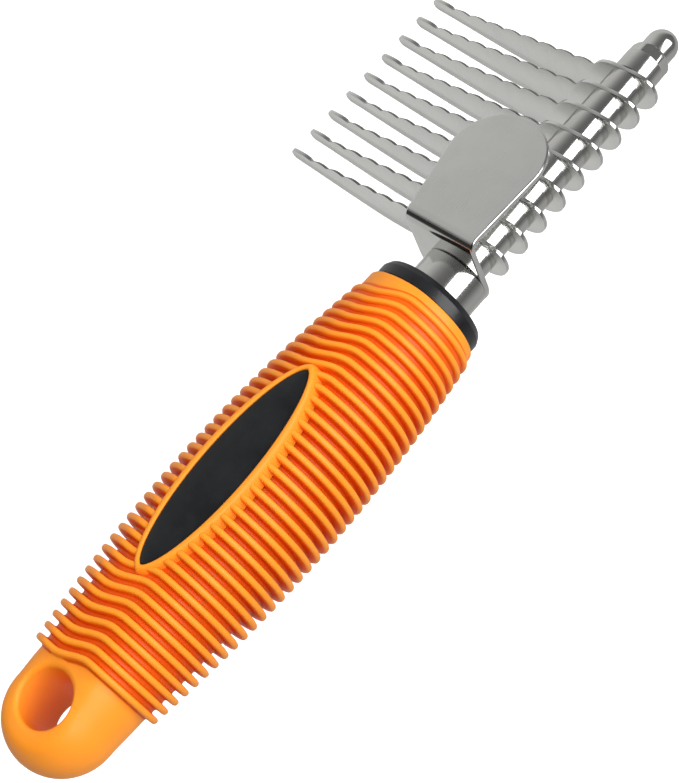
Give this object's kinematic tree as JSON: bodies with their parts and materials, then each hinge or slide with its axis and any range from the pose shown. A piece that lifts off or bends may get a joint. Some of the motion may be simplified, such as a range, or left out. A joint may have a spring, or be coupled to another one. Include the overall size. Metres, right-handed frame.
{
  "type": "dematting comb",
  "caption": "Pet dematting comb with a stack of scalloped steel blades on a spindle, a bent thumb rest, a domed cap nut and a ribbed soft grip with a hang hole.",
  "frame": {"origin": "centre of the hang hole, on the spindle axis", "axes": "+X along the spindle towards the cap nut, +Z out of the badge face along the hang hole, +Y towards the blade tips"},
  "size_m": [0.1866, 0.0691, 0.0322],
  "materials": {
    "soft_orange": "satin thermoplastic rubber",
    "black_plastic": "satin black moulding",
    "black_gloss": "smooth black inlay",
    "polished_steel": "turned and polished stainless steel",
    "plain_steel": "plain turned steel",
    "satin_steel": "satin brushed stainless plate",
    "blade_steel": "satin ground stainless blade"
  },
  "bodies": {
    "handle": {"rubber_grip": "soft_orange", "handle_core": "black_plastic", "badge_plate": "black_gloss", "collar": "polished_steel", "spindle": "plain_steel", "thumb_rest": "satin_steel", "spacer_1": "polished_steel", "spacer_2": "polished_steel", "spacer_3": "polished_steel", "spacer_4": "polished_steel", "spacer_5": "polished_steel", "spacer_6": "polished_steel", "spacer_7": "polished_steel", "spacer_8": "polished_steel", "spacer_9": "polished_steel", "blade_1": "blade_steel", "blade_2": "blade_steel", "blade_3": "blade_steel", "blade_4": "blade_steel", "blade_5": "blade_steel", "blade_6": "blade_steel", "blade_7": "blade_steel", "blade_8": "blade_steel", "blade_9": "blade_steel"},
    "washer": {"lock_washer": "plain_steel"},
    "nut": {"cap_nut": "polished_steel"}
  },
  "joints": [
    {"name": "nut_travel", "type": "slide", "parent": "handle", "child": "washer", "axis": [1, 0, 0], "range_m": [0, 0.0056]},
    {"name": "nut_turn", "type": "hinge", "parent": "washer", "child": "nut", "pos_m": [0.168, 0, 0], "axis": [-1, 0, 0], "range_deg": [0, 2520]}
  ],
  "couplings": [
    {"joint": "nut_turn", "follows": "nut_travel", "rad_per_m": 7854}
  ]
}
